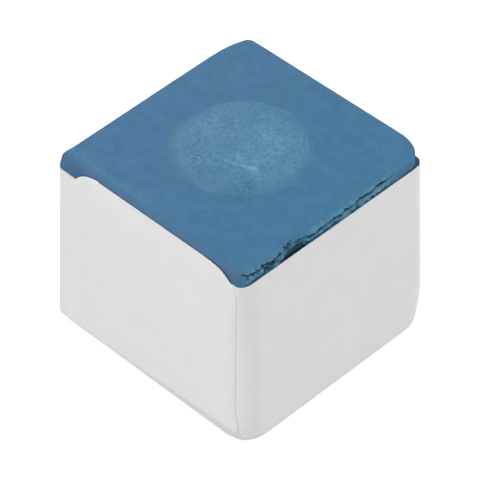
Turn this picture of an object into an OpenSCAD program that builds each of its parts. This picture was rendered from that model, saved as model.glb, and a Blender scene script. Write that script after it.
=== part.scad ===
// Cue chalk cube: a pressed chalk block in a folded paper label.
// Millimetres, +Z up. The origin is at the middle of the underside, where the label meets the table.
// The front is -Y and the right side is +X.

/* [Chalk block] */
// Width of the chalk, between its left and right sides
block_w = 21.9; // [16:0.1:30]
// Depth of the chalk, between its front and back sides
block_d = 21.9; // [16:0.1:30]
// Height of the chalk
block_h = 19.5; // [12:0.1:30]
// Radius of the four upright edges
edge_r = 0.9; // [0.9:0.1:3]
// Radius of the rim round the top, rubbed down by use
rim_r = 0.6; // [0.2:0.1:0.8]
// Radius of the bottom edges, which the label folds round
foot_r = 0.5; // [0.2:0.1:0.8]

/* [Dimple for the cue tip] */
// Diameter of the dimple in the top face
dimple_d = 12; // [6:0.5:16]
// Depth of the dimple at its middle
dimple_depth = 0.5; // [0.2:0.1:3]

/* [Label] */
// Thickness of the label paper
paper_t = 0.1; // [0.06:0.01:0.3]
// Thickness of the glue film under the paper
glue_t = 0.04; // [0.02:0.01:0.1]
// How far the right and left flaps stop below the top of the chalk, taking the two together
side_flap_drop = 1.45; // [1:0.05:8]
// How far the front and back flaps, which lie on top, stop below the top of the chalk
cover_flap_drop = 0.3; // [0.2:0.1:8]
// How far a cover flap is narrower, at each end, than the straight stretch of its side
cover_inset = 0.35; // [0.3:0.05:4]
// How far the label was laid on to the right of the middle: its cover flaps sit that far to the right,
// the right flap ends that much higher and the left flap that much lower
label_shift = 0.3; // [-0.3:0.05:0.3]
// Radius of the upper corners of a cover flap
cover_corner_r = 2.7; // [1:0.1:6]
// Height over which a cover flap widens towards its fold
cover_root_h = 2.5; // [0.5:0.5:6]
// How far the right and left flaps reach along the front and back, past the upright edges
tab_reach = 3; // [1:0.5:8]
// How much the lower edge of a tab rises towards its end
tab_rise = 1; // [0.2:0.1:3]
// Width of the slit between a fold of a cover flap and the wrapped corner beside it
slit_w = 0.15; // [0.05:0.05:0.5]
// How far the glue stops inside the edge of the paper
glue_margin = 0.4; // [0.1:0.1:1]

/* [Hidden] */
$fn = 96;
dimple_fn = 360;

// Heights above the table
chalk_z = paper_t + glue_t;
top_z = chalk_z + block_h;
cover_flap_z = top_z - cover_flap_drop;
flat_side_z = top_z - rim_r;

// Middle lines of the upright edges, and how far the flat underside runs past them
edge_x = block_w / 2 - edge_r;
edge_y = block_d / 2 - edge_r;
flat_foot = edge_r - foot_r;

// Gap from the chalk to each layer of paper: a cover flap lies over a glued tab
side_gap = glue_t;
cover_gap = side_gap + paper_t + glue_t;
side_fold_z = fold_top(side_gap);
cover_fold_z = fold_top(cover_gap);

// Ball that leaves the dimple when it cuts the top face
dimple_r = (dimple_d * dimple_d / 4 + dimple_depth * dimple_depth) / (2 * dimple_depth);

// Outline of a cover flap, and of the tabs under it
cover_half_w = edge_x - cover_inset;
cover_root_half_w = edge_x - slit_w;
tab_end_x = edge_x - tab_reach;
tab_z = cover_fold_z + paper_t;

// Height at which a fold round the bottom edge becomes upright, for a sheet this far from the chalk
function fold_top(gap) = paper_t + foot_r + gap;

// Height of the upper edge of the right flap (side is 1) or of the left flap (side is -1)
function side_flap_z(side) = top_z - side_flap_drop + side * label_shift;

// Carries a section drawn as (outwards, up) straight along a side that faces +X
module along_side(length) {
    rotate([90, 0, 0]) linear_extrude(length, center = true) children();
}

// Draws a piece of the right side where it is, or its mirror image on the left
module on_side(side) {
    mirror([side < 0 ? 1 : 0, 0, 0]) children();
}

// Draws a piece that faces +X against the right or left side
module against_side(side) {
    on_side(side) translate([edge_x, 0, 0]) children();
}

// Sets a piece that faces +X against the front and back sides
module on_front_and_back() {
    for (turn = [90, 270]) rotate(turn) translate([edge_y, 0, 0]) children();
}

// Turns a section round the two upright edges of the right or left side
module round_edges(side) {
    for (behind = [0, 1])
        on_side(side)
            mirror([0, behind, 0])
                translate([edge_x, edge_y, 0]) rotate_extrude(angle = 90) children();
}

// Sets a flat piece drawn as (across, up) upright at the front and, mirrored, at the back.
// Its inner face lies gap away from the chalk, and it is t thick.
module front_and_back_sheet(gap, t) {
    for (behind = [0, 1])
        mirror([0, behind, 0])
            translate([0, -block_d / 2 - gap, 0])
                rotate([90, 0, 0]) linear_extrude(t) children();
}

// Section of the chalk from the middle line of an upright edge outwards, with its rounded rim and foot
module chalk_edge_section() {
    intersection() {
        square([edge_r, block_h]);
        union() {
            square([edge_r - rim_r, block_h]);
            square([flat_foot, block_h - rim_r]);
            translate([0, foot_r]) square([edge_r, block_h - foot_r - rim_r]);
            translate([edge_r - rim_r, block_h - rim_r]) circle(rim_r);
            translate([flat_foot, foot_r]) circle(foot_r);
        }
    }
}

// Section of the paper where it folds up from the base, this far from the chalk
module fold_section(gap) {
    inner_r = foot_r + gap;
    outer_r = inner_r + paper_t;
    translate([flat_foot, fold_top(gap)])
        intersection() {
            difference() {
                circle(outer_r);
                circle(inner_r);
            }
            translate([0, -outer_r]) square(outer_r);
        }
}

// Section of a right or left flap: the fold and the upright sheet above it
module side_flap_section(side) {
    fold_section(side_gap);
    translate([edge_r + side_gap, side_fold_z]) square([paper_t, side_flap_z(side) - side_fold_z]);
}

// Outline of a cover flap as (across, up), drawn inset from its edges and ended at top
module cover_outline(inset, top) {
    left = label_shift - cover_half_w + inset;
    right = label_shift + cover_half_w - inset;
    root = cover_root_half_w - inset;
    corner = cover_corner_r - inset;
    polygon([
        [-root, cover_fold_z],
        [root, cover_fold_z],
        [right, cover_fold_z + cover_root_h],
        [right, top - corner],
        [right - corner, top],
        [left + corner, top],
        [left, top - corner],
        [left, cover_fold_z + cover_root_h],
    ]);
    for (x = [left + corner, right - corner]) translate([x, top - corner]) circle(corner);
}

// Outline of the tabs on one side as (across, up), each drawn inset from its end and its upper edge
module tab_outlines(inset) {
    for (side = [1, -1])
        on_side(side)
            polygon([
                [edge_x, tab_z],
                [edge_x, side_flap_z(side) - inset],
                [tab_end_x + inset, side_flap_z(side) - inset],
                [tab_end_x + inset, tab_z + tab_rise],
            ]);
}

// Pressed block of chalk with a dimple worn in its top
module chalk_block() {
    color("#4f7a9d")
        difference() {
            translate([0, 0, chalk_z]) {
                translate([-edge_x, -edge_y, 0]) cube([2 * edge_x, 2 * edge_y, block_h]);
                on_front_and_back() along_side(2 * edge_x) chalk_edge_section();
                for (side = [1, -1]) {
                    against_side(side) along_side(2 * edge_y) chalk_edge_section();
                    round_edges(side) chalk_edge_section();
                }
            }
            translate([0, 0, top_z - dimple_depth + dimple_r]) sphere(dimple_r, $fn = dimple_fn);
        }
}

// One cross-shaped sheet, folded up round the block.
// The right and left flaps reach round the upright edges with tabs, and the cover flaps close over them.
module paper_label() {
    color("#dfe0e2") {
        linear_extrude(paper_t) {
            square([2 * (edge_x + flat_foot), 2 * edge_y], center = true);
            square([2 * edge_x, 2 * (edge_y + flat_foot)], center = true);
        }
        for (side = [1, -1]) {
            against_side(side) along_side(2 * edge_y) side_flap_section(side);
            round_edges(side) {
                square([flat_foot, paper_t]);
                side_flap_section(side);
            }
        }
        front_and_back_sheet(side_gap, paper_t) tab_outlines(0);
        on_front_and_back() along_side(2 * cover_root_half_w) fold_section(cover_gap);
        front_and_back_sheet(cover_gap, paper_t) cover_outline(0, cover_flap_z);
    }
}

// Dried glue under the base, under each flap and tab, and between the tabs and the cover flaps
module label_glue() {
    cover_glue_z = min(cover_flap_z - glue_margin, flat_side_z);
    bed_half_w = tab_end_x - glue_margin;
    color("#e6dfc4") {
        translate([0, 0, paper_t])
            linear_extrude(glue_t)
                square([2 * (edge_x - glue_margin), 2 * (edge_y - glue_margin)], center = true);
        for (side = [1, -1]) {
            side_glue_z = min(side_flap_z(side) - glue_margin, flat_side_z);
            against_side(side)
                along_side(2 * (edge_y - glue_margin))
                    translate([edge_r, side_fold_z]) square([glue_t, side_glue_z - side_fold_z]);
        }
        front_and_back_sheet(0, glue_t) tab_outlines(glue_margin);
        front_and_back_sheet(side_gap + paper_t, glue_t) cover_outline(glue_margin, cover_glue_z);
        front_and_back_sheet(0, side_gap + paper_t)
            translate([-bed_half_w, cover_fold_z])
                square([2 * bed_half_w, cover_glue_z - cover_fold_z]);
    }
}

chalk_block();
paper_label();
label_glue();
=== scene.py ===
"""Cue chalk cube: a worn block of pressed chalk in a folded paper label.

Shapes are worked out in millimetres and go into their meshes in metres. +Z is up, the front is -Y and
the right side is +X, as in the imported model. Chalk, label and glue are new surfaces in the places of their
nodes. All three are laid out on a plain block with even edges, and shape_block then gives that block the
worn foot, the upright edges and the lean of the real one, so that the layers stay on each other.

A pair of numbers is a fade where its comment says nothing else: nothing of a thing is there at the first
number, and all of it at the second.
"""

import math

import bpy
import numpy as np
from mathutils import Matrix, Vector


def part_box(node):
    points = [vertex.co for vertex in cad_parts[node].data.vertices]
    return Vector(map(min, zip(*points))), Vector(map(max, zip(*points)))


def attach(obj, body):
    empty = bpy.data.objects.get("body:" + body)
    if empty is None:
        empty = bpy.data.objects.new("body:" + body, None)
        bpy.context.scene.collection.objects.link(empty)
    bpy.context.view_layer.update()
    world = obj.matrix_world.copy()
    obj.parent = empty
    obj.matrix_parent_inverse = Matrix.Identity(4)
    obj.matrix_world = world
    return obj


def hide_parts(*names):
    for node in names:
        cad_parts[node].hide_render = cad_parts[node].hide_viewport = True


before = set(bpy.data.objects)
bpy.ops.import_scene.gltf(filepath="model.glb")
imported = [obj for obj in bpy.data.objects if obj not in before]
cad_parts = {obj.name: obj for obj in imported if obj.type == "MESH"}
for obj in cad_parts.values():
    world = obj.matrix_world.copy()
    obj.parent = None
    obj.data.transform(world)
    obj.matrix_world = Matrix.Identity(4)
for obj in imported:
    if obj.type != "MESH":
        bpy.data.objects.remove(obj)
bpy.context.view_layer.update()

MM = 0.001

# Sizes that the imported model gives
chalk_low, chalk_high = (np.array(corner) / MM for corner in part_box("chalk_block"))
label_high = np.array(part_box("paper_label")[1]) / MM
HALF = chalk_high[0]
TOP_Z = chalk_high[2]
CHALK_Z = chalk_low[2]
COVER_TOP_Z = label_high[2]
LAYER = label_high[0] - HALF

# Plain block: the radius of its upright edges, and how far their middle lines are from its middle
EDGE_R = 0.9
REACH = HALF - EDGE_R

# Real upright edges: signs of x and y, then the radii along x and y at the top, half-way up and at the base
EDGES = [
    ((-1, -1), (0.02, 0.02), (0.02, 0.02), (0.05, 0.05)),
    ((1, -1), (0.9, 2.0), (2.1, 1.9), (2.3, 2.5)),
    ((1, 1), (1.45, 1.45), (1.45, 1.45), (2.8, 2.8)),
    ((-1, 1), (1.0, 1.0), (1.0, 1.0), (2.4, 2.4)),
]

# Square in which an edge is worked on, and the heights where its radii go over to the base's and the top's
EDGE_BOX = 4.4
SOFT_HEIGHT = 5.0
TIGHT_Z = (12.0, 18.0)

# How far each side leans in from the base to the top, and the height and length of the wave in it
LEAN = 0.55
WAVE = 0.015
WAVE_LENGTH = 7.0

# Foot of the front, worn up on the left: how far, and where along x
FOOT_LIFT = 0.4
LIFT_X = (10.0, -5.0)

# Foot of the front, pressed in below a slanting crease: the crease's height at the middle, its rise and the
# pressing per millimetre, its dip at the right corner and where that starts, and where the pressing ends
CREASE_Z = 1.25
CREASE_RISE = 0.047
CREASE_IN = 0.29
CREASE_DIP = 1.1
CREASE_DIP_X = 9.2
CREASE_X = (11.6, 10.4)

# How far behind the front this still tells, and the lift of the front right corner with its reach along x
# and y and its fade as a share of that
FOOT_REACH = 3.0
CORNER_LIFT = 0.05
CORNER_REACH = (2.0, 3.8)
CORNER_FADE = (1, 0.15)

# Radii of the rim round the top and of the bottom edges, for the right, back, left and front: at the middle
# of the side, and the growth from there to its end at +x or +y
RIM_R = ((0.5, 0.4), (0.36, -0.3), (0.8, -0.1), (0.8, -0.1))
FOOT_R = ((0.355, -0.055), (0.4, 0.0), (0.35, 0.25), (0.1, 0.0))

# Dimple that the cue tip grinds, with its faint lip
DIMPLE_R = 6.0
DIMPLE_DEPTH = 0.4
DIMPLE_LIP = 0.025
LIP_HALF_W = 0.15

# Chalk: columns along the right, back, left and front sides and round each upright edge, and rows
SIDE_STEPS = (260, 110, 110, 130)
TURN_STEPS = 14
TOP_ROWS = 84
RIM_ROWS = 36
RIM_ARC_ROWS = 16
RIM_DEPTH = 2.6
SIDE_FALLS = (0.25, 0.5, 0.75, 0.9, 1)
FOOT_ROWS = 6
BASE_RINGS = 17

# Chalk: heights of the grain all over, in the dimple, and of the chips and the grit on the crumbled rim
GRAIN_H = 0.008
DIMPLE_GRAIN_H = 0.012
CHIP_H = 0.03
GRIT_H = 0.02

# Chalk: the crumbled rim on the right. A line has a row of the rim, how far the chalk lies inside its side
# and below its top there, how much both waver, how much further in it lies at the crack, at the undercut and
# at the broken-out chunk, and how much lower it lies further back and behind the chunk.
CRUMBLE = np.array([
    (0, 0.55, 0.00, 0.00, 0.00, 0.0, 0.0, 0.00, 0.0, 0.0),
    (3, 0.30, 0.02, 0.08, 0.00, 0.0, 0.0, 0.05, 0.0, 0.0),
    (5, 0.17, 0.09, 0.12, 0.02, 0.0, 0.0, 0.10, 0.0, 0.1),
    (7, 0.08, 0.24, 0.12, 0.05, 0.0, 0.0, 0.13, 0.0, 0.3),
    (9, 0.05, 0.38, 0.12, 0.06, 0.0, 0.0, 0.16, 0.0, 0.8),
    (11, 0.08, 0.44, 0.14, 0.06, 1.0, 0.0, 0.26, 0.0, 1.0),
    (13, 0.09, 0.66, 0.14, 0.06, 1.0, 0.0, 0.24, 0.0, 1.0),
    (15, 0.05, 0.72, 0.10, 0.06, 0.0, 0.0, 0.16, 0.0, 1.0),
    (20, 0.02, 0.98, 0.08, 0.05, 0.0, 0.0, 0.34, 0.8, 0.1),
    (22, 0.04, 1.02, 0.08, 0.05, 0.0, 1.0, 0.50, 0.8, 0.1),
    (27, 0.04, 1.30, 0.05, 0.03, 0.0, 1.0, 0.65, 0.4, 0.0),
    (31, 0.04, 1.60, 0.00, 0.00, 0.0, 0.0, 0.40, 0.0, 0.0),
    (RIM_ROWS, 0.00, RIM_DEPTH, 0.00, 0.00, 0.0, 0.0, 0.00, 0.0, 0.0),
])

# Lines of that table that lead: the lip over the crack, the chunk and the undercut
LIP_KNOT = 4
CHUNK_KNOT = 8
UNDERCUT_KNOT = 9

# Layers in which the rim splits: rows to a layer, how far apart layers, rows and the two directions lie in
# the noise, the length, height, shift and waver of the slanting steps, and what each octave of noise keeps
LAYER_ROWS = 8
LAYER_APART = 7.3
ROW_APART = 0.06
SINK_APART = 5.5
STEP_LENGTH = 1.4
STEP_H = 0.8
STEP_SHIFT = 0.37
STEP_WAVER = 0.3
ROUGHNESS_KEEP = 0.65

# How deep the crack, the undercut and the loose bits go, how much lower the rim lies further back, where all
# this is, and where the rim gets shallow and sound
CRACK_IN = 0.4
CRACK_Y = (6.4, 5.4)
UNDERCUT_IN = 0.26
RUBBLE_IN = 0.3
RUBBLE_SIZE = 0.5
RUBBLE_Y = (-4.5, -6.5)
RUBBLE_ROWS = ((4, 8), (29, 23))
BACK_LOWER = 0.08
BACK_LOWER_Y = (-5, 1)
SHALLOW_Y = (5.5, 9)
SOUND_Y = (6.0, 7.6)

# The broken-out chunk: its middle, half its width, how its ends fade and waver, the share that counts as
# missing, and the dip behind it
CHUNK_Y = -4.75
CHUNK_HALF_W = 1.3
CHUNK_ENDS = (1.15, 0.8)
CHUNK_WAVER = 0.35
MISSING = (0.2, 0.6)
DIP = 0.22
DIP_BEHIND = 2.4
DIP_HALF_W = 1.6

# Parts of the rim by the direction that they face
FACING = (0.35, 0.95)
FACING_BACK_RIGHT = (0.15, 0.45)

# Painted shade on the rim, with darker mottling: how far behind the overhang a point lies, how dark that is
# in the upper and lower rows, the mottling, the chunk's floor, edge and slot, the crushed stretch, and the
# ledges at the back
OVERHANG = (0.03, 0.16)
LOWER_ROW = 18
UPPER_DARK = 0.74
UPPER_DARKER = 0.22
UPPER_DARKER_Y = (-2, 2)
LOWER_DARK = 0.13
MOTTLE_SIZE = 0.4
CHUNK_FLOOR_ROWS = (9, 12)
CHUNK_EDGE_ROW = 9
CHUNK_EDGE_DARK = 0.4
SLOT_ROWS = (28.5, 31.5)
CRUSHED_Y = ((-10.2, -9.2), (-6.0, -7.0))
CRUSHED_ROWS = (14, 17)
LEDGE_DARK = 0.8
CORNER_LEDGE_DEPTH = (1.1, 1.3)
SIDE_LEDGE_DEPTH = (0.98, 1.2)
SIDE_LEDGE_Y = (7.0, 9.5)

# Painted highlights and the bevel's tint of painted shade and wear on the rim: middle row and half height of
# the pale highlight lines on the crumbled rim and along the front, rows that are freshly broken and that
# carry the tint, and the corner that is hardly tinted
PALE_LINE = (7, 2)
FRONT_PALE_LINE = (4, 3)
FRONT_PALE_X = (3, -5)
FRESH_ROWS = (12, 16)
BEVEL_TINT_ROWS = (26, RIM_ARC_ROWS)
UNTINTED_REACH = (3.5, 0.5)

# Top corner gone at the back left: its cut along the left and the back, how softly that ends, how near it a
# point has to lie, and the fade in depth
CUT_LEFT = 3.1
CUT_BACK = 1.2
CUT_EASE = 0.25
CUT_NEAR = 2.0
CUT_DEPTH = (2.4, 0.5)

# Top corner at the back right: the radii of its curve along x and y, and the fade in depth above its ledge
BACK_RIGHT_R = (3.2, 1.65)
BACK_RIGHT_DEPTH = (1.42, 1.25)

# Corners where the chalk stands out as far as the paper below, the back right as a ledge and the front left:
# the sign of x and y, how far, the reach, and the fades in depth above and below
STAND_OUTS = [
    (1, 0.07, (1.1, 0.6), (1.25, 1.42), (2.1, 1.7)),
    (-1, 0.115, (2.5, 0), (0.6, 1.7), (2.16, 2.06)),
]

# Powder in the dimple: its radius, the width of its edge and how that grows along x, its clouds and their
# size, the height, middle and spread of the heap in it, and how much thinner it is at the front right
POWDER_R = 6.15
POWDER_EDGE = 1.1
POWDER_EDGE_GROWTH = 0.11
POWDER_CLOUDING = 0.25
CLOUD_SIZE = 1.6
HEAP = 0.36
HEAP_X = 0.9
HEAP_Y = 1.0
HEAP_SPREAD = 14
THINNER = 0.2
THINNER_ACROSS = (1.5, 6.0)

# Arcs of powder along its edge: radius, half width, strength, and the fades in degrees at both ends
POWDER_ARCS = [
    (5.5, 0.1, 0.3, (-45, -10), (80, 40)),
    (5.85, 0.1, 0.3, (-45, -10), (80, 40)),
    (5.95, 0.16, 0.3, (85, 100), (175, 160)),
]

# Streaks of powder across the dimple: start x and y, end x and y, half width and strength
STREAKS = [
    (-0.55, -1.75, 0.90, -1.38, 0.14, 0.75),
    (0.85, -1.32, 2.45, -0.60, 0.19, 0.7),
    (1.45, -1.45, 2.75, -0.95, 0.30, 0.22),
    (-0.45, -0.50, 1.30, -1.05, 0.24, 0.4),
]

# Patches of dark pits: middle x and y, half width along x and y, and strength, and how pitted the rest is
PIT_PATCHES = [
    (3.7, -3.6, 1.2, 1.4, 1.0),
    (-1.6, -3.2, 1.6, 1.6, 0.6),
    (-3.6, -1.7, 0.7, 0.7, 0.5),
]
PITTED = 0.3

# Greenish rubbing: its arc's middle x and y, radius, half width and fades in degrees, and its patches' size
RUB_X = -0.35
RUB_Y = -0.25
RUB_R = 5.55
RUB_HALF_W = 0.42
RUB_ENDS = ((-185, -160), (-52, -75))
RUB_PATCH_SIZE = 1.8

# Label: the paper, the share of it left at crushed cuts, the glue and gap under it, and the glue's margin
PAPER = 0.1
CUT_SHARE = 0.4
GLUE = LAYER - PAPER
COVER_GAP = 2 * GLUE + PAPER
GLUE_MARGIN = 0.4

# Side flaps: how far they stop below the top of the chalk, and how much further round the front and back
# ends of the right one, and how near those ends
RIGHT_DROP = 1.3
LEFT_DROP = 2.18
FRONT_END_DROP = 0.3
FRONT_END = (1.9, 0.1)
BACK_END_DROP = 1.1
BACK_END = (0.9, 0.25)

# Cover flap: its cuts, which lie a little to the right of the middle, how much wider it is at its top,
# how far its top is trimmed and slants, its corners, and the height and spread of its root
COVER_LEFT = -9.38
COVER_RIGHT = 10.0
COVER_TOP_OUT = 0.16
COVER_TRIM = 0.4
COVER_SLANT = 0.006
COVER_CORNER_R = 2.7
COVER_ROOT_H = 3.3
COVER_ROOT_OUT = 0.5

# Slit beside a cover flap: its end, over which height, and where the flap lies flush below it, with its gap
SLIT_END_Z = 1.2
SLIT_END_H = 0.4
FLUSH_NEAR = (0.4, 0.05)
FLUSH_GAP = 0.01

# Tabs: their reach, the rise of their lower edge and the fall of their upper one per millimetre
TAB_REACH = 3.0
TAB_RISE = 1.0
TAB_FALL = 0.02

# How far a cover flap is pressed on along its top and along its cuts, and over which distances
TOP_PRESS = 0.1
TOP_PRESS_H = 2.0
BED_FADE = 0.8
SIDE_PRESS = 0.042
SIDE_PRESS_W = 0.8
SIDE_PRESS_FALL = (0.95, 0.85)

# Label: columns across a cover flap, rows of its corners, wall rows as shares of the way down, closer at the
# crease, rows of a fold and of the base, and columns of a tab and of a turn
COVER_COLUMNS = 72
CORNER_ROWS = 14
WALL_FALL = np.concatenate([np.linspace(0, 0.85, 22), np.linspace(0.85, 1, 25)[1:]])
WALL_ROWS = len(WALL_FALL)
FOLD_ROWS = 8
BASE_ROWS = 97
TAB_COLUMNS = 14
TURN_COLUMNS = 12

# Glue: columns and rows of a film
FILM_COLUMNS = 40
FILM_ROWS = 30

# Light: the world's strength, the floor's own white, half size in metres and gap below the base, how far off
# the soft boxes are, and each one's name, azimuth, elevation, width in metres and watts
WORLD_LIGHT = 0.93
FLOOR_WHITE = 0.84
FLOOR_HALF = 3.0
FLOOR_GAP = 0.02
LIGHT_DISTANCE = 500.0
SOFT_BOXES = [
    ("front soft box", -1.5, 28, 0.3, 0.652),
    ("back right soft box", 152, 21, 0.3, 0.783),
]

# Camera: its azimuth, elevation, distance and the point that it looks at, and its lens
CAMERA_VIEW = (44.944, 44.071, 279.8, (0.391, -0.843, 10.0))
CAMERA_LENS = 247.5


def ramp(low, high, x):
    """0 at low and 1 at high, rising evenly between them. low may be the larger one."""
    return np.clip((x - low) / (high - low), 0, 1)


def fade(low, high, x):
    """The ramp t from low to high, eased at both ends as 3t^2 - 2t^3."""
    t = ramp(low, high, x)
    return t * t * (3 - 2 * t)


def bell(middle, half_w, x):
    """1 at the middle, falling off as e to the minus square of the distance in half widths."""
    return np.exp(-((x - middle) / half_w) ** 2)


def between(rise, fall, x):
    """A stretch that fades in and out: the product of both fades."""
    return fade(*rise, x) * fade(*fall, x)


def lattice_noise(points, size, seed):
    """Smooth noise from -1 to 1: a hashed value at each corner of a cubic lattice of this size, blended
    across the cell by the fade of the place in it."""
    place = points / size
    cell = np.floor(place).astype(np.int64)
    share = fade(0, 1, place - cell)
    total = np.zeros(points.shape[:-1])
    low_bits = np.uint64(2**32 - 1)
    for corner in np.ndindex(2, 2, 2):
        at = (cell + corner).astype(np.uint64)
        mixed = at[..., 0] * 73856093 ^ at[..., 1] * 19349663 ^ at[..., 2] * 83492791
        mixed = (mixed ^ np.uint64(seed * 2654435761 % 2**32)) & low_bits
        for shift, factor in ((15, 2246822519), (13, 3266489917)):
            mixed = (mixed ^ (mixed >> np.uint64(shift))) * np.uint64(factor) & low_bits
        value = (mixed ^ (mixed >> np.uint64(16))) / 2**31 - 1
        total += value * np.prod(np.where(corner, share, 1 - share), axis=-1)
    return total


def grain(points, size, seed, octaves=3, keep=0.5):
    """Lattice noise summed over octaves, each of half the size of the last and keep times its height."""
    return sum(lattice_noise(points, size / 2**k, seed + k) * keep**k for k in range(octaves))


def edge_radius(spot, normal, radii):
    """Radius of a rim or foot: that of the two sides that the direction faces, each growing evenly along
    its side, weighed by the squares of the direction's parts along x and y."""
    along = spot[..., [1, 0, 1, 0]] / REACH
    middle, growth = np.array(radii).T
    right, back, left, front = np.moveaxis(middle + growth * along, -1, 0)
    facing_x = np.where(normal[..., 0] > 0, right, left)
    facing_y = np.where(normal[..., 1] > 0, back, front)
    return normal[..., 0] ** 2 * facing_x + normal[..., 1] ** 2 * facing_y


def lay_out(spot, normal, out, z):
    """Points that lie out from these spots on the middle lines, at these heights."""
    flat = spot + normal * out[..., None]
    return np.concatenate([flat, np.broadcast_to(z, flat.shape[:-1])[..., None]], -1)


def corner_reach(direction, radii):
    """Distance from the inner corner of a square of EDGE_BOX to its outer two sides, which a quarter of an
    ellipse with these radii joins: side / larger part on the flats, and the far root of the ellipse's
    equation between them."""
    flat = EDGE_BOX / direction.max(-1)
    middle = EDGE_BOX - radii
    way, start = direction / radii, middle / radii
    a, b, c = (way * way).sum(-1), (way * start).sum(-1), (start * start).sum(-1) - 1
    arc = (b + np.sqrt(np.maximum(b * b - a * c, 0))) / a
    return np.where((flat[..., None] * direction > middle).all(-1), arc, flat)


def press_foot(points):
    """Wears the foot of the front, in place. It is lifted on the left, evenly less towards the right and the
    top, and a little at the right corner. Below the crease, which slants up to the right and dips at the
    corner, it is pressed in by its depth. Lift and pressing grow less behind the front."""
    x, y, z = np.moveaxis(points.copy(), -1, 0)
    at_front = np.clip(1 - (y + HALF) / FOOT_REACH, 0, 1)
    lifted = ramp(*LIFT_X, x) * (1 - z / TOP_Z)
    points[..., 2] += FOOT_LIFT * lifted * at_front
    z = points[..., 2]
    from_corner = np.hypot((x - HALF) / CORNER_REACH[0], (y + HALF) / CORNER_REACH[1])
    z += CORNER_LIFT * fade(*CORNER_FADE, from_corner) * (1 - z / TOP_Z)
    crease_z = CREASE_Z + CREASE_RISE * x - CREASE_DIP * fade(CREASE_DIP_X, HALF, x)
    below = np.maximum(crease_z - z, 0) * fade(*CREASE_X, x)
    points[..., 1] += CREASE_IN * below * at_front


def shape_block(points):
    """Turns the plain block into the real one. First its foot is pressed. Near an upright edge a point then
    moves along its line from the inner corner of the edge's square, by the ratio of the real edge's distance
    to the plain one's. The real radii go over to those at the base with the square of the depth below
    SOFT_HEIGHT, and evenly to those at the top. The sides then lean in evenly with height, and a long faint
    wave of noise takes away their ruled look."""
    points = points.copy()
    press_foot(points)
    low = np.clip(1 - points[..., 2:] / SOFT_HEIGHT, 0, 1) ** 2
    high = ramp(*TIGHT_Z, points[..., 2:])
    for edge in EDGES:
        sign, top_r, middle_r, base_r = np.array(edge)
        away = points[..., :2] * sign - (HALF - EDGE_BOX)
        near = (away > 1e-6).all(-1, keepdims=True)
        away = np.maximum(away, 1e-6)
        direction = away / np.linalg.norm(away, axis=-1, keepdims=True)
        radii = middle_r + (base_r - middle_r) * low + (top_r - middle_r) * high
        ratio = corner_reach(direction, radii) / corner_reach(direction, np.array([EDGE_R, EDGE_R]))
        moved = sign * (away * ratio[..., None] + HALF - EDGE_BOX)
        points[..., :2] = np.where(near, moved, points[..., :2])
    wave = np.stack([lattice_noise(points, WAVE_LENGTH, seed) for seed in (71, 72)], -1)
    points[..., :2] *= (1 + LEAN * (0.5 - points[..., 2] / TOP_Z) / HALF)[..., None]
    points[..., :2] += WAVE * wave
    return points


def walk_round():
    """One lap round the block from the front end of the right side: spots on the middle lines of the
    upright edges, and the direction outwards. Each quarter is a straight run and a 90 degree turn."""
    spots, facings = [], []
    for quarter, steps in enumerate(SIDE_STEPS):
        along = np.linspace(-REACH, REACH, steps, endpoint=False)
        run = np.stack([np.full(steps, REACH), along], 1)
        spot = np.concatenate([run, np.full((TURN_STEPS, 2), REACH)])
        turn = np.linspace(0, math.pi / 2, TURN_STEPS, endpoint=False)
        start = quarter * math.pi / 2
        c, s = round(math.cos(start)), round(math.sin(start))
        spots.append(spot @ np.array([(c, s), (-s, c)]))
        facings.append(np.concatenate([np.zeros(steps), turn]) + start)
    facing = np.concatenate(facings)
    return np.concatenate(spots), np.stack([np.cos(facing), np.sin(facing)], 1)


def crumbled_section(row, y):
    """How far the crumbled rim lies inside its side and below its top, as rows by columns, and how far the
    chunk is gone at each line of CRUMBLE. The rim runs straight between those lines, which waver along it
    with noise and with the slanting steps in which such chalk splits."""
    at, inset, deep, waver_in, waver_down, crack, undercut, chunk, lower, dip = CRUMBLE.T[:, :, None]
    layer = np.floor(at / LAYER_ROWS)
    line = np.zeros((len(CRUMBLE), len(y), 3))
    line[..., 0] = y
    line[..., 1] = layer * LAYER_APART + at * ROW_APART
    sway = grain(line, 1.0, 11, 4, ROUGHNESS_KEEP)
    sway += STEP_H * ((y / STEP_LENGTH + layer * STEP_SHIFT + STEP_WAVER * sway) % 1 - 0.5)
    line[..., 2] = SINK_APART
    sink = grain(line, 0.8, 23, 4, ROUGHNESS_KEEP)
    cracked = fade(*CRACK_Y, y) * np.clip(0.85 + 0.5 * sway[LIP_KNOT], 0.2, 1.2)
    gone = fade(*CHUNK_ENDS, np.abs(y - CHUNK_Y) / CHUNK_HALF_W + CHUNK_WAVER * sway)
    further_back = fade(*BACK_LOWER_Y, y)
    behind_chunk = bell(DIP_BEHIND, DIP_HALF_W, y - CHUNK_Y)
    open_below = np.clip(0.45 + 0.8 * sink[UNDERCUT_KNOT], 0, 1.1)
    knot_in = inset * (1 - 0.45 * fade(*SHALLOW_Y, y)) + waver_in * sway + chunk * gone
    knot_in += CRACK_IN * crack * cracked * (1 - gone) + UNDERCUT_IN * undercut * open_below
    knot_down = deep + waver_down * sink + BACK_LOWER * lower * further_back + DIP * dip * behind_chunk
    hats = np.stack([np.interp(row[:, 0], at[:, 0], each) for each in np.eye(len(CRUMBLE))], 1)
    return hats @ knot_in, hats @ knot_down, gone


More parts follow.
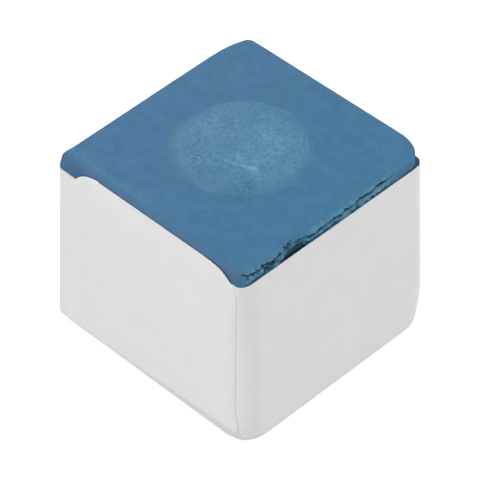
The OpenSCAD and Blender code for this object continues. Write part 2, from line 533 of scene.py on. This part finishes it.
def rim_painted_shade(row, y, out, depth, missing, on_right, back_right):
    """How much painted shade the rim has, from 0 to 1. A point is painted dark, as shade, as far as it lies
    behind the chalk that overhangs it. The chunk has left a mottled floor with painted shade, a painted dark
    upper edge and a slot at its foot painted dark as shade. The stretch in front of it is crushed and mottled
    darker, and the ledges at the back have painted shade."""
    behind = np.maximum.accumulate(out, 0) - out
    upper_dark = UPPER_DARK + UPPER_DARKER * fade(*UPPER_DARKER_Y, y)
    in_shade = np.where(row < LOWER_ROW, upper_dark, LOWER_DARK)
    painted_shade_and_mottling = fade(*OVERHANG, behind) * in_shade * (1 - missing)
    mottle = grain(np.stack(np.broadcast_arrays(y, depth, 3.0), -1), MOTTLE_SIZE, 43, 2)
    broken = np.clip(0.15 + 0.6 * mottle, 0, 1) * fade(*CHUNK_FLOOR_ROWS, row)
    broken = broken + CHUNK_EDGE_DARK * bell(CHUNK_EDGE_ROW, 1, row)
    painted_shade_and_mottling += missing * np.maximum(np.clip(broken, 0, 1), fade(*SLOT_ROWS, row))
    crushed = between(*CRUSHED_Y, y) * (1 - missing) * on_right
    painted_shade_and_mottling += crushed * np.clip(0.33 + 0.8 * mottle, 0, 0.8) * fade(*CRUSHED_ROWS, row)
    painted_shade_and_mottling = np.minimum(painted_shade_and_mottling, 1)
    ledge = back_right * fade(*CORNER_LEDGE_DEPTH, depth)
    side_ledge = fade(*SIDE_LEDGE_Y, y) * fade(*SIDE_LEDGE_DEPTH, depth)
    ledge += (1 - back_right) * on_right * side_ledge
    return np.maximum(painted_shade_and_mottling, LEDGE_DARK * ledge)


def rim_section(spot, normal):
    """Out and depth of the chalk's rim as rows by columns, with its marks. Sound chalk follows a quarter
    circle and then its upright side. The right side is crumbled, and loose bits have fallen out of it. The
    two shapes are blended round its ends. The bevel is tinted by the square of the sine along the quarter
    circle, partly as painted shade and partly as wear, and painted highlights lie in pale lines that are
    bells across the rows."""
    row = np.arange(RIM_ROWS + 1)[:, None]
    rim_r = edge_radius(spot, normal, RIM_R)
    bend = ramp(0, RIM_ARC_ROWS, row) * math.pi / 2
    run = ramp(RIM_ARC_ROWS, RIM_ROWS, row)
    sound_out = EDGE_R - rim_r + rim_r * np.sin(bend)
    sound_depth = rim_r * (1 - np.cos(bend)) + (RIM_DEPTH - rim_r) * run

    y = spot[:, 1] + EDGE_R * normal[:, 1]
    broken_in, broken_down, gone = crumbled_section(row, y)
    on_right = fade(*FACING, normal[:, 0])
    crumbled = on_right * (1 - 0.8 * fade(*SOUND_Y, y))
    out = sound_out + crumbled * (EDGE_R - broken_in - sound_out)
    depth = sound_depth + crumbled * (broken_down - sound_depth)
    bits = np.stack(np.broadcast_arrays(y, depth, 0.0), -1)
    loose = np.clip(grain(bits, RUBBLE_SIZE, 37, 3, ROUGHNESS_KEEP), 0, 1)
    loose = loose * (0.25 + fade(*RUBBLE_Y, y) + gone[CHUNK_KNOT])
    shown = between(*RUBBLE_ROWS, row) * crumbled
    out = out - RUBBLE_IN * loose * shown

    missing = fade(*MISSING, gone[CHUNK_KNOT]) * on_right
    back_right = fade(*FACING_BACK_RIGHT, normal.min(1))
    # Painted shade: dark under overhangs, in the chunk's slot and on the ledges, with darker mottling
    painted_shade_and_mottling = rim_painted_shade(row, y, out, depth, missing, on_right, back_right)
    # Purple-blue tint on the bevel, strongest where it faces sideways: partly painted shade, partly edge wear
    hardly_worn = fade(*UNTINTED_REACH, np.linalg.norm(spot + REACH, axis=1))
    worn = np.sin(bend) ** 2 * (1 - on_right) * (1 - back_right) * (1 - 0.7 * hardly_worn)
    worn = worn * fade(*BEVEL_TINT_ROWS, row)
    # Painted highlights: pale lines along the lip of the crumbled rim and along the left part of the front
    # edge
    painted_highlight = bell(*PALE_LINE, row) * crumbled * (1 - gone[LIP_KNOT])
    on_front = fade(*FACING, -normal[:, 1]) * fade(*FRONT_PALE_X, spot[:, 0])
    painted_highlight = painted_highlight + 0.5 * bell(*FRONT_PALE_LINE, row) * on_front
    fresh = shown * (1 + 0.9 * fade(*FRESH_ROWS, row) * (1 - missing))
    return out, depth, {"crumbled": fresh, "painted_shade_and_mottling": painted_shade_and_mottling, "worn": worn, "painted_highlight": painted_highlight}


def wear_corners(points):
    """Takes off the top corners that have gone. At the back left that is an upright cut, slanting from the
    left side to the back and eased at both ends, where how far a point lies past the cut, d, becomes
    (d + sqrt(d^2 + e^2)) / 2. The back right follows a quarter of an ellipse. Under it, as a ledge, and at
    the front left the chalk stands out a little, as far as the paper below."""
    points = points.copy()
    half = HALF - LEAN / 2
    depth = TOP_Z - points[..., 2]
    cut_normal = np.array([-CUT_LEFT, CUT_BACK]) / math.hypot(CUT_LEFT, CUT_BACK)
    past = (points[..., :2] - np.array([-half, half - CUT_LEFT])) @ cut_normal
    over = (past + np.sqrt(past**2 + CUT_EASE**2)) / 2 * fade(*CUT_DEPTH, depth) * (past > -CUT_NEAR)
    points[..., :2] -= over[..., None] * cut_normal
    radii = np.array(BACK_RIGHT_R)
    away = points[..., :2] - (half - radii)
    distance = np.linalg.norm(away / radii, axis=-1)
    over = np.where((away > 0).all(-1), 1 - 1 / np.maximum(distance, 1), 0)
    over = over * fade(*BACK_RIGHT_DEPTH, depth)
    points[..., :2] -= away * over[..., None]
    for sign, furthest, reach, upper, lower in STAND_OUTS:
        distance = np.linalg.norm(points[..., :2] - sign * half, axis=-1)
        out = fade(*reach, distance) * fade(*upper, depth) * fade(*lower, depth)
        points[..., :2] += sign * furthest * out[..., None]
    return points


def powder_marks(points):
    """What use has left on the top, each from 0 to 1: loose powder, streaks, dark pits and the greenish
    rubbing. Powder fills the dimple, most of it behind the middle, thins out over the right edge and runs in
    thin arcs along it. Pits crowd three patches in the dimple's front half. The rubbing is an arc of its own
    along the front left edge. Streaks, arcs and patches are bells across."""
    x, y = points[..., 0], points[..., 1]
    r = np.hypot(x, y)
    angle = np.degrees(np.arctan2(y, x))
    cloud = grain(points, CLOUD_SIZE, 81)
    edge_w = POWDER_EDGE + POWDER_EDGE_GROWTH * np.clip(x, -5, 8)
    ground = fade(0, 1, (POWDER_R - r - POWDER_CLOUDING * cloud) / edge_w)
    heap = HEAP * np.exp(-((x - HEAP_X) ** 2 + (y - HEAP_Y) ** 2) / HEAP_SPREAD)
    thinner = THINNER * fade(*THINNER_ACROSS, x - y)
    powder_and_highlight = ground * np.clip(0.5 + POWDER_CLOUDING * cloud + heap - thinner, 0, 1)
    for ring, half_w, strength, start, end in POWDER_ARCS:
        powder_and_highlight = powder_and_highlight + strength * between(start, end, angle) * bell(ring, half_w, r)
    streaks = np.zeros(r.shape)
    for x0, y0, x1, y1, half_w, strength in STREAKS:
        run = np.array([x1 - x0, y1 - y0])
        length = np.hypot(*run)
        along = ((x - x0) * run[0] + (y - y0) * run[1]) / length
        aside = ((x - x0) * run[1] - (y - y0) * run[0]) / length + 0.06 * cloud
        ends = fade(-0.15, 0.3, along) * fade(length + 0.15, length - 0.5, along)
        streaks += strength * ends * bell(0, half_w, aside) * np.clip(0.8 + 0.5 * cloud, 0, 1)
    pits = PITTED * ground
    for x0, y0, half_x, half_y, strength in PIT_PATCHES:
        pits = pits + strength * np.exp(-(((x - x0) / half_x) ** 2 + ((y - y0) / half_y) ** 2))
    from_x, from_y = x - RUB_X, y - RUB_Y
    rub_angle = np.degrees(np.arctan2(from_y, from_x))
    ring = bell(RUB_R, RUB_HALF_W, np.hypot(from_x, from_y))
    patchy = np.clip(0.75 + 0.35 * grain(points, RUB_PATCH_SIZE, 91), 0, 1)
    rubbed = between(*RUB_ENDS, rub_angle) * ring * patchy
    marks = {"powder_and_highlight": powder_and_highlight, "streaks": streaks, "pits": pits, "rubbed": rubbed}
    return {name: np.clip(values, 0, 1) for name, values in marks.items()}


def chalk_surface():
    """The chalk as rings from the middle of its top to the middle of its base. On the top a ring is the
    outline of the flat drawn smaller, then come the rim section, the upright side and the rounded foot.
    The dimple lowers the top by its depth times 1 - (r / R)^2, inside a faint lip at R."""
    spot, normal = walk_round()
    out, depth, rim_marks = rim_section(spot, normal)
    flat = spot + normal * out[0][:, None]
    shares = np.linspace(0, 1, TOP_ROWS + 1)[1:-1]
    top = np.concatenate([shares[:, None, None] * flat, np.full((len(shares), len(flat), 1), TOP_Z)], 2)
    rim = lay_out(spot, normal, out, TOP_Z - depth)
    foot = edge_radius(spot, normal, FOOT_R)
    fall = np.concatenate([SIDE_FALLS, np.ones(FOOT_ROWS)])[:, None]
    bend = np.linspace(0, math.pi / 2, FOOT_ROWS + 1)[1:]
    bend = np.concatenate([np.zeros(len(SIDE_FALLS)), bend])[:, None]
    rim_end_z = TOP_Z - RIM_DEPTH
    side_z = rim_end_z + (CHALK_Z + foot - rim_end_z) * fall - foot * np.sin(bend)
    side = lay_out(spot, normal, EDGE_R - foot + foot * np.cos(bend), side_z)
    base = side[-1] * np.array([1, 1, 0]) * np.linspace(1, 0, BASE_RINGS + 2)[1:-1, None, None]
    side = np.concatenate([side, base + np.array([0, 0, CHALK_Z])])
    rings = np.concatenate([top, rim, side])

    rim_lean = np.linspace(0, math.pi / 2, len(rim))
    lean = np.concatenate([np.zeros(len(top)), rim_lean, np.full(len(side), math.pi / 2)])
    outward = lay_out(np.zeros((1, 2)), normal, np.sin(lean)[:, None], np.cos(lean)[:, None])
    bare_top, bare_side = np.zeros(top.shape[:2]), np.zeros(side.shape[:2])
    marks = {name: np.concatenate([bare_top, values, bare_side]) for name, values in rim_marks.items()}
    r = np.linalg.norm(rings[..., :2], axis=-1)
    on_top = (np.arange(len(rings)) <= len(top))[:, None]
    ground = fade(DIMPLE_R, DIMPLE_R - 0.5, r) * on_top
    marks |= {name: values * on_top for name, values in powder_marks(rings).items()}
    # The painted highlight lines join the dimple's powder and take its colour
    marks["powder_and_highlight"] = np.maximum(marks["powder_and_highlight"], 0.5 * marks.pop("painted_highlight"))
    relief = GRAIN_H * grain(rings, 0.8, 31) + DIMPLE_GRAIN_H * ground * grain(rings, 0.45, 41)
    chips = CHIP_H * grain(rings, 0.45, 51) + GRIT_H * lattice_noise(rings, 0.16, 61)
    relief += marks["crumbled"] * chips
    relief *= (np.arange(len(rings)) < len(top) + len(rim))[:, None]
    rings = rings + outward * relief[..., None]
    dish = DIMPLE_DEPTH * np.clip(1 - (r / DIMPLE_R) ** 2, 0, 1)
    lip = DIMPLE_LIP * bell(DIMPLE_R, LIP_HALF_W, r)
    rings[..., 2] -= (dish - lip) * on_top
    return wear_corners(shape_block(rings)), marks


def quads(rows, columns, closed=False):
    """Corner numbers of a grid's cells, row by row. If closed, its last column is joined to the first."""
    number = np.arange(rows * columns).reshape(rows, columns)
    if closed:
        number = np.concatenate([number, number[:, :1]], 1)
    corners = [number[:-1, :-1], number[1:, :-1], number[1:, 1:], number[:-1, 1:]]
    return np.stack(corners, -1).reshape(-1, 4)


def new_object(name, data):
    """An object with this data in the scene."""
    made = bpy.data.objects.new(name, data)
    bpy.context.scene.collection.objects.link(made)
    return made


def piece(name, vertices, faces, node, material):
    """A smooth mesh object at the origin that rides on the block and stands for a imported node. Edges with a
    face on one side only, where a sheet is cut, stay sharp."""
    mesh = bpy.data.meshes.new(name)
    mesh.from_pydata(vertices * MM, [], faces)
    mesh.polygons.foreach_set("use_smooth", np.ones(len(mesh.polygons), bool))
    sides = np.empty(len(mesh.loops), np.int32)
    mesh.loops.foreach_get("edge_index", sides)
    mesh.edges.foreach_set("use_edge_sharp", np.bincount(sides, minlength=len(mesh.edges)) == 1)
    mesh.update()
    made = new_object(name, mesh)
    mesh.materials.append(material)
    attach(made, "root")
    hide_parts(node)
    return made


def make_chalk(material):
    """The rings joined into cells, closed by a fan at the middle of the top and of the base."""
    rings, marks = chalk_surface()
    rows, columns = rings.shape[:2]
    middle_top = [0, 0, TOP_Z - DIMPLE_DEPTH]
    middle_base = [0, 0, CHALK_Z]
    vertices = np.concatenate([rings.reshape(-1, 3), [middle_top, middle_base]])
    first = np.arange(columns)
    following = np.roll(first, -1)
    last = (rows - 1) * columns
    top_fan = np.stack([first, following, np.full(columns, rows * columns)], 1)
    base_fan = np.stack([last + following, last + first, np.full(columns, rows * columns + 1)], 1)
    faces = quads(rows, columns, closed=True).tolist() + top_fan.tolist() + base_fan.tolist()
    made = piece("chalk", vertices, faces, "chalk_block", material)
    for name, values in marks.items():
        attribute = made.data.attributes.new(name, "FLOAT", "POINT")
        middles = [values[0].mean(), values[-1].mean()]
        attribute.data.foreach_set("value", np.append(values.ravel(), middles).astype(np.float32))


def cover_flap(behind, gap, inset, top_z):
    """The inner face of a front or back flap this far from the chalk, drawn inset from its cut. A row runs
    between two edges: a quarter circle at the upper corner, a straight cut, and a root that spreads evenly
    towards the fold. The right cut stands out at its top by the square of the height. Past an upright edge
    the row turns with it. The flap is pressed on to the tabs along its cuts and on to the chalk along its
    top. The slit on its right ends above the fold, and the flap lies flush with the paper below that. The
    last rows fold in under the base in a quarter circle."""
    corner_r = COVER_CORNER_R - inset
    turn = np.linspace(math.pi / 2, 0, CORNER_ROWS, endpoint=False)
    bend = np.linspace(0, math.pi / 2, FOLD_ROWS + 1)[1:]
    below_corner = np.zeros(WALL_ROWS + FOLD_ROWS)
    corner_rise = np.concatenate([corner_r * np.sin(turn), below_corner])[:, None]
    corner_in = np.concatenate([corner_r * (1 - np.cos(turn)), below_corner])[:, None]
    fall = np.concatenate([np.zeros(CORNER_ROWS), WALL_FALL, np.ones(FOLD_ROWS)])[:, None]
    bend = np.concatenate([np.zeros(CORNER_ROWS + WALL_ROWS), bend])[:, None]
    corner_z = top_z - corner_r
    spread = np.clip(1 - (corner_z - PAPER) * (1 - fall) / COVER_ROOT_H, 0, 1)
    right_root = REACH + COVER_ROOT_OUT * (1 - bend / (math.pi / 2))
    left = COVER_LEFT + inset + corner_in + (-REACH - COVER_LEFT) * spread
    right = COVER_RIGHT - inset - corner_in + (right_root - COVER_RIGHT) * spread
    right = right + COVER_TOP_OUT * (1 - fall) ** 2
    x = left + (right - left) * np.linspace(0, 1, COVER_COLUMNS)
    spot = np.stack([np.clip(x, -REACH, REACH), np.full(x.shape, -REACH)], -1)
    angle = (x - spot[..., 0]) / (EDGE_R + gap)
    normal = np.stack([np.sin(angle), -np.cos(angle)], -1)
    mirror = np.array([1, -1 if behind else 1])
    spot, normal = spot * mirror, normal * mirror
    foot = edge_radius(spot, normal, FOOT_R)
    fold_r = foot + gap
    z = corner_z + corner_rise + (PAPER + fold_r - corner_z) * fall - fold_r * np.sin(bend)
    z = z + COVER_SLANT * x * (1 - fall)
    from_cut = np.minimum(x - left, right - x)
    pressed = SIDE_PRESS * fade(SIDE_PRESS_W, 0, from_cut) * fade(*SIDE_PRESS_FALL, fall)
    bed = REACH - TAB_REACH
    over_bed = fade(bed + BED_FADE, bed - BED_FADE, np.abs(x))
    pressed += TOP_PRESS * fade(TOP_PRESS_H, 0, top_z - z) * over_bed
    if inset == 0:
        flush = fade(*FLUSH_NEAR, right - x) * fade(SLIT_END_Z + SLIT_END_H, SLIT_END_Z, z)
        pressed += (gap - GLUE - FLUSH_GAP) * flush * np.cos(bend)
    return lay_out(spot, normal, EDGE_R - foot + fold_r * np.cos(bend) - pressed, z)


def cover_strip():
    """The middle strip of the label: the front flap, the base and the back flap."""
    front, back = (cover_flap(behind, COVER_GAP, 0, COVER_TOP_Z - COVER_TRIM) for behind in (False, True))
    x, y = np.meshgrid(np.linspace(-REACH, REACH, COVER_COLUMNS), np.linspace(-REACH, REACH, BASE_ROWS))
    base = np.stack([x, y, np.full(x.shape, PAPER)], -1)
    return np.concatenate([front, base, back[::-1]])


def side_top(side, y):
    """Height of the upper edge of the right (side is 1) or left flap at this place along it. The right one
    has come down a little round its front edge, and further round its back edge."""
    if side < 0:
        return np.full(np.shape(y), TOP_Z - LEFT_DROP)
    front_end = FRONT_END_DROP * fade(*FRONT_END, y + HALF)
    back_end = BACK_END_DROP * fade(*BACK_END, HALF - y)
    return TOP_Z - RIGHT_DROP - front_end - back_end


def side_sheet(side):
    """A side flap with its two tabs, as its inner face, and which of its cells there are. The columns follow
    the front tab, the front edge, the side, the back edge and the back tab. The rows run down the upright
    sheet, round the fold in a quarter circle and in along the base to the middle line of the edge."""
    tab = np.linspace(TAB_REACH, 0, TAB_COLUMNS, endpoint=False)
    turn = np.linspace(0, math.pi / 2, TURN_COLUMNS, endpoint=False)
    run = np.linspace(-REACH, REACH, BASE_ROWS)
    ends = TAB_COLUMNS + TURN_COLUMNS
    past = np.concatenate([tab, np.zeros(2 * TURN_COLUMNS + BASE_ROWS), tab[::-1]])
    y = np.concatenate([np.full(ends, -REACH), run, np.full(ends, REACH)])
    front_half = np.concatenate([np.full(TAB_COLUMNS, -math.pi / 2), turn - math.pi / 2])
    facing = np.concatenate([front_half, np.zeros(BASE_ROWS), -front_half[::-1]])
    spot = np.stack([side * (REACH - past), y], 1)
    normal = np.stack([side * np.cos(facing), np.sin(facing)], 1)
    foot = edge_radius(spot, normal, FOOT_R)
    fold_r = foot + GLUE
    is_tab = past > 0
    top_z = side_top(side, y + EDGE_R * normal[:, 1]) - TAB_FALL * past
    tab_z = 2 * PAPER + foot + COVER_GAP + TAB_RISE * past / TAB_REACH
    foot_z = np.where(is_tab, tab_z, PAPER + fold_r)
    fall = np.concatenate([WALL_FALL, np.ones(FOLD_ROWS + 1)])[:, None]
    bend = np.linspace(0, math.pi / 2, FOLD_ROWS + 1)[1:]
    bend = np.concatenate([np.zeros(WALL_ROWS), bend, [math.pi / 2]])[:, None]
    out = EDGE_R - foot + fold_r * np.cos(bend)
    out[-1] = 0
    grid = lay_out(spot, normal, out, top_z + (foot_z - top_z) * fall - fold_r * np.sin(bend))
    there = np.ones((len(grid) - 1, len(y) - 1), bool)
    there[WALL_ROWS - 1:] = ~(is_tab[:-1] | is_tab[1:])
    return grid, there


def make_sheets(name, patches, node, material, thickness):
    """Grids of cells welded where they meet, shaped with the block, and made this thick outwards. A patch is
    a grid, which of its cells there are, and whether it has to be turned over."""
    vertices = np.concatenate([grid.reshape(-1, 3) for grid, there, turned in patches])
    starts = np.cumsum([0] + [grid[..., 0].size for grid, there, turned in patches])
    cells = []
    for (grid, there, turned), start in zip(patches, starts):
        rows, columns = grid.shape[:2]
        kept = np.broadcast_to(there, (rows - 1, columns - 1)).ravel()
        corners = quads(rows, columns)[kept] + start
        cells.append(corners[:, ::-1] if turned else corners)
    welded, where = np.unique(np.round(vertices, 4), axis=0, return_inverse=True)
    used, corners = np.unique(where.ravel()[np.concatenate(cells)], return_inverse=True)
    faces = [list(dict.fromkeys(face)) for face in corners.reshape(-1, 4).tolist()]
    faces = [face for face in faces if len(face) > 2]
    made = piece(name, shape_block(welded[used]), faces, node, material)
    sheet = made.modifiers.new("thickness", "SOLIDIFY")
    sheet.thickness = thickness * MM
    sheet.offset = 1
    return made


def make_label(material):
    """The label as one sheet: the middle strip and the two side flaps with their tabs. Its upright cuts are
    crushed to a share of the paper's thickness, so that they show as fine lines."""
    patches = [(cover_strip(), True, False)]
    patches += [(*side_sheet(side), side < 0) for side in (1, -1)]
    made = make_sheets("label", patches, "paper_label", material, PAPER)
    mesh = made.data
    spots = np.empty(3 * len(mesh.vertices))
    mesh.vertices.foreach_get("co", spots)
    ends = np.empty(2 * len(mesh.edges), np.int32)
    mesh.edges.foreach_get("vertices", ends)
    cut = np.empty(len(mesh.edges), bool)
    mesh.edges.foreach_get("use_edge_sharp", cut)
    ends = ends.reshape(-1, 2)[cut]
    run = np.abs(np.diff(spots.reshape(-1, 3)[ends], axis=1)[:, 0])
    upright = ends[run[:, 2] > run[:, :2].sum(1)]
    crushed = made.vertex_groups.new(name="crushed cuts")
    crushed.add(np.unique(upright).tolist(), 1.0, "REPLACE")
    sheet = made.modifiers["thickness"]
    sheet.vertex_group = "crushed cuts"
    sheet.invert_vertex_group = True
    sheet.thickness_vertex_group = CUT_SHARE


def upright_film(side, low_x, high_x, low_z, high_z, gap):
    """A flat film on the front (side is -1) or back (side is 1), this far from the chalk."""
    across = np.linspace(low_x, high_x, FILM_COLUMNS)
    x, z = np.meshgrid(across, np.linspace(high_z, low_z, FILM_ROWS))
    return np.stack([x, np.full(x.shape, side * (HALF + gap)), z], -1)


def make_glue(material):
    """Films of glue under the base, the side flaps, the tabs and the cover flaps, each kept in from the edge
    of its paper. The bed between the tabs is two films, because it bridges the thickness of a tab."""
    flat = REACH - GLUE_MARGIN
    bed = REACH - TAB_REACH - GLUE_MARGIN
    low_z = CHALK_Z + np.abs(FOOT_R).sum(1).max()
    high_z = TOP_Z - np.abs(RIM_R).sum(1).max()
    spread = np.linspace(-flat, flat, FILM_COLUMNS)
    x, y = np.meshgrid(spread, -spread)
    patches = [(np.stack([x, -y, np.full(x.shape, CHALK_Z)], -1), True, False)]
    for side in (1, -1):
        front_z, middle_z, back_z = side_top(side, np.array([-HALF, 0, HALF])) - GLUE_MARGIN
        film = upright_film(-1, -flat, flat, low_z, middle_z, 0)
        patches.append((film[..., [1, 0, 2]] * np.array([-side, 1, 1]), True, side < 0))
        for behind, top_z in ((1, back_z), (-1, front_z)):
            tab = upright_film(behind, REACH - TAB_REACH + GLUE_MARGIN, REACH, low_z + TAB_RISE, top_z, 0)
            patches.append((tab * np.array([side, 1, 1]), True, side * behind > 0))
    for behind in (1, -1):
        for gap in (0, PAPER):
            patches.append((upright_film(behind, -bed, bed, low_z, high_z, gap), True, behind > 0))
        cover = cover_flap(behind > 0, GLUE + PAPER, GLUE_MARGIN, high_z)[:-FOLD_ROWS]
        patches.append((cover, True, behind > 0))
    make_sheets("glue", patches, "label_glue", material, GLUE)


def linear(code):
    """An sRGB hex colour as linear red, green, blue and a full alpha."""
    parts = np.array([int(code[k:k + 2], 16) for k in (1, 3, 5)]) / 255
    low, high = parts / 12.92, ((parts + 0.055) / 1.055) ** 2.4
    return (*np.where(parts <= 0.04045, low, high).tolist(), 1.0)


def plug(tree, node, inputs):
    """Gives a node's sockets, by name or number, a value or another node's output each."""
    for socket, value in inputs.items():
        if isinstance(value, bpy.types.NodeSocket):
            tree.links.new(value, node.inputs[socket])
        else:
            node.inputs[socket].default_value = value


def add(tree, kind, inputs=None, output=0, **settings):
    """Adds a node with these inputs and its own settings, and gives one of its outputs."""
    made = tree.nodes.new("ShaderNode" + kind)
    for name, value in settings.items():
        setattr(made, name, value)
    plug(tree, made, inputs or {})
    return made.outputs[output]


def new_material(name):
    """A material, its tree and its Principled shader."""
    made = bpy.data.materials.new(name)
    made.use_nodes = True
    return made, made.node_tree, made.node_tree.nodes["Principled BSDF"]


def pressed_chalk():
    """Silica, abrasive and blue pigment pressed into a block: dead matt, with a fine grit. It is bluer on the
    left and greener towards the crumbled side, paler where the cue tip has left powder in the dimple, with
    painted highlights in pale lines along the rim and a tint on the bevel that is partly painted shade and
    partly wear. It is darker in pits in the dimple, and painted dark as shade in the cracks and hollows of
    the rim that light doesn't reach."""
    made, tree, shader = new_material("pressed blue chalk")
    place = add(tree, "TexCoord", output="Object")
    across = add(tree, "SeparateXYZ", {0: place}, "X")
    # Size in millimetres and detail of the clouds, the mottling, the pores and the grit
    cloud, mottle, pores, grit = [
        add(tree, "TexNoise", {"Vector": place, "Scale": 1 / (size * MM), "Detail": detail}, "Fac")
        for size, detail in ((5, 3.0), (1.3, 3.0), (0.3, 4.0), (0.22, 2.0))]
    marks = {name: add(tree, "Attribute", output="Fac", attribute_name=name)
             for name in ("powder_and_highlight", "streaks", "pits", "rubbed", "worn", "crumbled", "painted_shade_and_mottling")}

    side = add(tree, "MapRange", {0: across, 1: -9 * MM, 2: 9 * MM, 3: -0.27, 4: 0.41})
    hue = add(tree, "Math", {0: cloud, 1: 0.8, 2: side}, operation="MULTIPLY_ADD", use_clamp=True)
    tone = add(tree, "Mix", {0: hue, 6: linear("#4e7699"), 7: linear("#407494")}, 2, data_type="RGBA")
    specks = add(tree, "Math", {0: mottle, 1: 1.1, 2: grit}, operation="MULTIPLY_ADD")
    speck = add(tree, "MapRange", {0: specks, 1: 0.8, 2: 1.4, 3: 0.0, 4: 0.36})
    flecks = add(tree, "MapRange", {0: pores, 1: 0.35, 2: 0.65, 3: 0.25, 4: 0.65})
    dots = add(tree, "MapRange", {0: grit, 1: 0.46, 2: 0.7, 3: 0.0, 4: 0.7})
    # Colours laid over each other: how much of each shows, what thins that out, and the colour
    layers = [
        (speck, None, "#295679"),
        # The bevel's tint: partly painted shade, partly edge wear
        (marks["worn"], 0.7, "#577194"),
        # Powder in the dimple, and the painted highlight lines along the rim
        (marks["powder_and_highlight"], flecks, "#74a3c3"),
        (marks["rubbed"], 0.28, "#6b938f"),
        (marks["pits"], dots, "#285878"),
        (marks["streaks"], 0.75, "#98c4d6"),
        (marks["crumbled"], flecks, "#5d92ad"),
        # Painted shade in the rim's cracks, slot and ledges and under its overhangs, with darker mottling
        (marks["painted_shade_and_mottling"], None, "#193347"),
    ]
    for share, thinned, colour in layers:
        if thinned is not None:
            share = add(tree, "Math", {0: share, 1: thinned}, operation="MULTIPLY")
        tone = add(tree, "Mix", {0: share, 6: tone, 7: linear(colour)}, 2, data_type="RGBA")

    height = add(tree, "Math", {0: pores, 1: grit}, operation="ADD")
    bump = add(tree, "Bump", {"Strength": 0.5, "Distance": 0.03 * MM, "Height": height})
    rough = add(tree, "MapRange", {0: grit, 3: 0.88, 4: 1.0})
    plug(tree, shader, {"Base Color": tone, "Normal": bump, "Roughness": rough, "Specular IOR Level": 0.2})
    return made


def label_paper():
    """Machine-finished label paper, calendered smooth: near white, with a faint cloudiness from uneven
    fibres and a soft sheen. The fibres are drawn several times coarser than real ones so that they show."""
    made, tree, shader = new_material("calendered label paper")
    place = add(tree, "TexCoord", output="Object")
    cloud = add(tree, "TexNoise", {"Vector": place, "Scale": 1 / (2.5 * MM), "Detail": 4.0}, "Fac")
    inputs = {"Vector": place, "Scale": 1 / (0.25 * MM), "Detail": 3.0, "Distortion": 1.5}
    fibre = add(tree, "TexNoise", inputs, "Fac")
    blend = add(tree, "Math", {0: fibre, 1: 0.35, 2: cloud}, operation="MULTIPLY_ADD")
    share = add(tree, "MapRange", {0: blend, 1: 0.4, 2: 0.95})
    tone = add(tree, "Mix", {0: share, 6: linear("#eaeaea"), 7: linear("#efefef")}, 2, data_type="RGBA")
    bump = add(tree, "Bump", {"Strength": 0.12, "Distance": 0.01 * MM, "Height": fibre})
    rough = add(tree, "MapRange", {0: cloud, 3: 0.5, 4: 0.62})
    plug(tree, shader, {"Base Color": tone, "Normal": bump, "Roughness": rough})
    return made


def dried_paste():
    """Starch paste brushed on and dried: cream, uneven and slightly glossy."""
    made, tree, shader = new_material("dried starch paste")
    place = add(tree, "TexCoord", output="Object")
    streak = add(tree, "TexNoise", {"Vector": place, "Scale": 1 / (1.2 * MM), "Detail": 3.0}, "Fac")
    tone = add(tree, "Mix", {0: streak, 6: linear("#ddd4b2"), 7: linear("#ece6cf")}, 2, data_type="RGBA")
    rough = add(tree, "MapRange", {0: streak, 3: 0.3, 4: 0.5})
    plug(tree, shader, {"Base Color": tone, "Roughness": rough})
    return made


def seen_directly(tree):
    """1 for camera, glossy and transmission rays, which show the white background, and 0 for the rest."""
    seen = add(tree, "LightPath", output="Is Camera Ray")
    rays = seen.node.outputs
    for kind in ("Is Glossy Ray", "Is Transmission Ray"):
        seen = add(tree, "Math", {0: seen, 1: rays[kind]}, operation="MAXIMUM")
    return seen


def make_stage():
    """A white floor just below the base. Seen directly, its own white is added to the light that falls on
    it, so that it is white all over and keeps the block's shadow."""
    corners = FLOOR_HALF * np.array([(-1, -1), (1, -1), (1, 1), (-1, 1)])
    corners = np.pad(corners, ((0, 0), (0, 1)), constant_values=-FLOOR_GAP * MM)
    mesh = bpy.data.meshes.new("floor")
    mesh.from_pydata(corners, [], [(0, 1, 2, 3)])
    floor = new_object("floor", mesh)
    made, tree, shader = new_material("white studio floor")
    plug(tree, shader, {"Base Color": linear("#888888"), "Roughness": 0.9})
    mesh.materials.append(made)
    white = add(tree, "Math", {0: seen_directly(tree), 1: FLOOR_WHITE}, operation="MULTIPLY")
    glow = add(tree, "Emission", {"Strength": white})
    both = add(tree, "AddShader", {0: shader.outputs[0], 1: glow})
    plug(tree, tree.nodes["Material Output"], {"Surface": both})


def aim(name, data, azimuth, elevation, distance, target=(0, 0, 0)):
    """A lamp or camera this far from its target, looking at it from this azimuth, which is 0 at the front
    and 90 on the right, and this elevation."""
    a, e = math.radians(azimuth), math.radians(elevation)
    towards = np.array([math.sin(a) * math.cos(e), -math.cos(a) * math.cos(e), math.sin(e)])
    made = new_object(name, data)
    made.location = (np.array(target) + towards * distance) * MM
    made.rotation_euler = (math.pi / 2 - e, 0, a)
    return made


def make_lights():
    """An even studio: white all round, with a soft box at the front and one behind on the right."""
    world = bpy.data.worlds.new("studio")
    bpy.context.scene.world = world
    world.use_nodes = True
    tree = world.node_tree
    strength = add(tree, "MapRange", {0: seen_directly(tree), 3: WORLD_LIGHT, 4: 1.0})
    plug(tree, tree.nodes["Background"], {"Color": (1, 1, 1, 1), "Strength": strength})
    for name, azimuth, elevation, size, watts in SOFT_BOXES:
        light = bpy.data.lights.new(name, "AREA")
        light.size = size
        light.energy = watts
        aim(name, light, azimuth, elevation, LIGHT_DISTANCE)


def make_camera():
    """The photograph's view, from above the front right upright edge with a long lens."""
    lens = bpy.data.cameras.new("camera")
    lens.lens = CAMERA_LENS
    bpy.context.scene.camera = aim("camera", lens, *CAMERA_VIEW)


make_chalk(pressed_chalk())
make_label(label_paper())
make_glue(dried_paste())
make_stage()
make_lights()
make_camera()
bpy.context.scene.view_settings.view_transform = "Standard"
